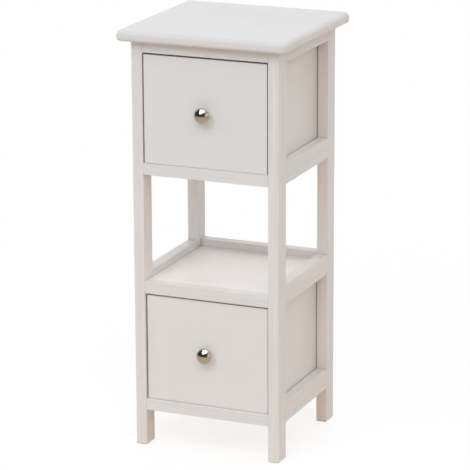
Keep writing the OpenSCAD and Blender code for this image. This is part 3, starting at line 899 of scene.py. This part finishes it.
def floor_material(name, settings):
    """Pale warm paper; it keeps the tower's shadow and is white to the camera further off."""
    r = Recipe(name, {})
    distance = r.add("VectorMath", {0: r.place}, operation="LENGTH").outputs["Value"]
    fibre = r.noise(r.place, PAPER_FIBRES, detail=3.0)
    colour = settings.floor_colour
    paper = r.mix(fibre, shade(colour, 0.98), shade(colour, 1.0))
    white = r.add("Emission", {"Strength": 1.0}).outputs[0]

    # The paper's own look lights the tower, with a warmer glow right under it
    plain = r.add("BsdfDiffuse", {"Color": paper}).outputs[0]
    glow = r.span(distance, GLOW_NEAR, GLOW_FAR, settings.floor_glow, 0.0)
    warm = r.add("Emission", {"Color": GLOW_COLOUR, "Strength": glow}).outputs[0]
    lighting = r.add("AddShader", {0: plain, 1: warm}).outputs[0]

    # Mirrors and glass see the warm paper in front of the tower, dimmer further off, and
    # the white background behind it
    dimmed = r.span(distance, *PAPER_IN_MIRRORS)
    before = r.add("Emission", {"Color": paper, "Strength": dimmed}).outputs[0]
    axes = r.add("SeparateXYZ", {0: r.place}).outputs
    mirrored = r.blend(r.span(axes["Y"], *WHITE_BEHIND), before, white)

    # The camera sees a white floor with the tower's soft shadow
    lit = r.add("BsdfDiffuse", {"Color": FLOOR_GREY}).outputs[0]
    lift = r.add("Emission", {"Strength": FLOOR_LIFT}).outputs[0]
    near = r.add("AddShader", {0: lit, 1: lift}).outputs[0]
    shown = r.blend(r.span(distance, FLOOR_NEAR, FLOOR_FAR, 0.0, 1.0), near, white)

    path = r.add("LightPath").outputs
    mirror = r.calc("MAXIMUM", path["Is Glossy Ray"], path["Is Transmission Ray"])
    unseen = r.blend(mirror, lighting, mirrored)
    both = r.blend(path["Is Camera Ray"], unseen, shown)
    r.tree.nodes.remove(r.shader)
    r.feed(r.tree.nodes["Material Output"].inputs["Surface"], both)
    return r.material


class Sky(NodeKit):
    """Builds the light of a world."""

    def __init__(self, world):
        world.use_nodes = True
        world.node_tree.nodes.clear()
        super().__init__(world.node_tree, "Generated")

    def soft_box(self, turn_deg, rise_deg, light):
        """Light from one direction, brightest in its middle and soft at its edge."""
        turned = math.radians(turn_deg)
        rise = math.radians(rise_deg)
        middle = (
            math.sin(turned) * math.cos(rise),
            -math.cos(turned) * math.cos(rise),
            math.sin(rise),
        )
        near = self.add("VectorMath", {0: self.place, 1: middle}, operation="DOT_PRODUCT")
        fade = self.add(
            "MapRange",
            {"Value": near.outputs["Value"], "From Min": BOX_EDGE, "From Max": BOX_CORE},
            interpolation_type="SMOOTHSTEP",
        ).outputs[0]
        scaled = self.add("VectorMath", {0: light, "Scale": fade}, operation="SCALE")
        return scaled.outputs[0]


def studio_world(settings):
    """White to the camera, soft boxes to the tower, and a dim studio in mirrors."""
    world = bpy.data.worlds.new("studio")
    bpy.context.scene.world = world
    r = Sky(world)
    boxes = [r.soft_box(*box) for box in SOFT_BOXES.values()]
    light = boxes[0]
    for box in boxes[1:]:
        light = r.add("VectorMath", {0: light, 1: box}, operation="ADD").outputs[0]

    axes = r.add("SeparateXYZ", {0: r.place}).outputs
    ends = r.calc(
        "MULTIPLY", r.span(axes["X"], *PANEL_LEFT), r.span(axes["X"], *PANEL_RIGHT)
    )
    overhead = r.calc("MULTIPLY", r.span(axes["Z"], *PANEL_LOWER), ends)
    backdrop = r.span(axes["Y"], *BACKDROP)
    right = r.span(axes["X"], *RIGHT_WALL)
    walls = r.calc("MAXIMUM", overhead, r.calc("MAXIMUM", backdrop, right))

    path = r.add("LightPath").outputs
    dome = r.add("Background", {"Color": light, "Strength": settings.world_level})
    mirror = r.add("Background", {"Color": walls})
    white = r.add("Background", {"Color": (*WHITE, 1.0), "Strength": 1.0})
    lit = r.blend(path["Is Glossy Ray"], dome.outputs[0], mirror.outputs[0])
    shown = r.calc("MAXIMUM", path["Is Camera Ray"], path["Is Transmission Ray"])
    both = r.blend(shown, lit, white.outputs[0])
    r.feed(r.add("OutputWorld").inputs["Surface"], both)


class TOWER_OT_set_stage(bpy.types.Operator):
    """Sets up the camera, the pale floor, the soft lamps and the surroundings."""

    bl_idname = "tower.set_stage"
    bl_label = "Set the stage"

    def execute(self, context):
        stage = context.scene.tower_stage
        self.place_camera(context, stage)
        self.lay_floor(context, stage)
        key, side, card = stage.key_watts, stage.side_watts, stage.card_watts
        soft_lamp("key_lamp", KEY_PLACE, LAMP_AIM, LAMP_SIDE, key, KEY_TINT, mirrored=True)
        soft_lamp("side_lamp", SIDE_PLACE, LAMP_AIM, LAMP_SIDE, side, SIDE_TINT, mirrored=False)
        soft_lamp("low_card", CARD_PLACE, CARD_AIM, CARD_SIDE, card, WHITE, mirrored=False)
        studio_world(stage)
        context.scene.view_settings.view_transform = "Standard"
        return {"FINISHED"}

    def place_camera(self, context, stage):
        """A tilted camera without shift, at the photograph's viewing angle."""
        data = bpy.data.cameras.new("camera")
        data.sensor_width = SENSOR_WIDTH
        data.lens = stage.lens
        data.clip_start = CLIP_START
        data.clip_end = CLIP_END
        camera = bpy.data.objects.new("camera", data)
        turn_z = Matrix.Rotation(stage.camera_turn, 4, "Z")
        tilt_x = Matrix.Rotation(math.pi / 2 - stage.camera_tilt, 4, "X")
        roll_z = Matrix.Rotation(stage.camera_roll, 4, "Z")
        place = Matrix.Translation(stage.camera_place)
        camera.matrix_world = place @ turn_z @ tilt_x @ roll_z
        context.scene.collection.objects.link(camera)
        context.scene.camera = camera

    def lay_floor(self, context, stage):
        """A wide sheet of paper under the tower."""
        mesh = bpy.data.meshes.new("floor")
        made = bmesh.new()
        bmesh.ops.create_grid(
            made, x_segments=FLOOR_CELLS, y_segments=FLOOR_CELLS, size=FLOOR_HALF
        )
        made.to_mesh(mesh)
        made.free()
        floor = bpy.data.objects.new("floor", mesh)
        floor.data.materials.append(floor_material("floor_paper", stage))
        context.scene.collection.objects.link(floor)


# ---- Panel and registration ----------------------------------------------------------

# The steps in the order in which main() runs them
STEPS = (
    TOWER_OT_set_stage,
    TOWER_OT_paint_frame,
    TOWER_OT_paint_boards,
    TOWER_OT_finish_drawers,
    TOWER_OT_finish_fasteners,
    TOWER_OT_turn_knobs,
)
SETTINGS = {
    "tower_paint": TowerPaint,
    "tower_wood": TowerWood,
    "tower_metal": TowerMetal,
    "tower_stage": TowerStage,
}


class VIEW3D_PT_tower(bpy.types.Panel):
    """Lists the tower's steps and its settings."""

    bl_idname = "VIEW3D_PT_tower"
    bl_label = "Storage tower"
    bl_space_type = "VIEW_3D"
    bl_region_type = "UI"
    bl_category = "Tower"

    def draw(self, context):
        layout = self.layout
        for step in STEPS:
            layout.operator(step.bl_idname)
        for name, group in SETTINGS.items():
            column = layout.column(align=True)
            for key in group.__annotations__:
                column.prop(getattr(context.scene, name), key)


CLASSES = (*SETTINGS.values(), *STEPS, VIEW3D_PT_tower)


def register():
    """Registers the classes and hangs the settings on the scene."""
    for cls in CLASSES:
        bpy.utils.register_class(cls)
    for name, group in SETTINGS.items():
        setattr(bpy.types.Scene, name, PointerProperty(type=group))


def unregister():
    """Takes back what register() did."""
    for name in SETTINGS:
        delattr(bpy.types.Scene, name)
    for cls in reversed(CLASSES):
        bpy.utils.unregister_class(cls)


def main():
    """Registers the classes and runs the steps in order."""
    register()
    bpy.ops.tower.set_stage()
    bpy.ops.tower.paint_frame()
    bpy.ops.tower.paint_boards()
    bpy.ops.tower.finish_drawers()
    bpy.ops.tower.finish_fasteners()
    bpy.ops.tower.turn_knobs()


if __name__ == "__main__":
    main()
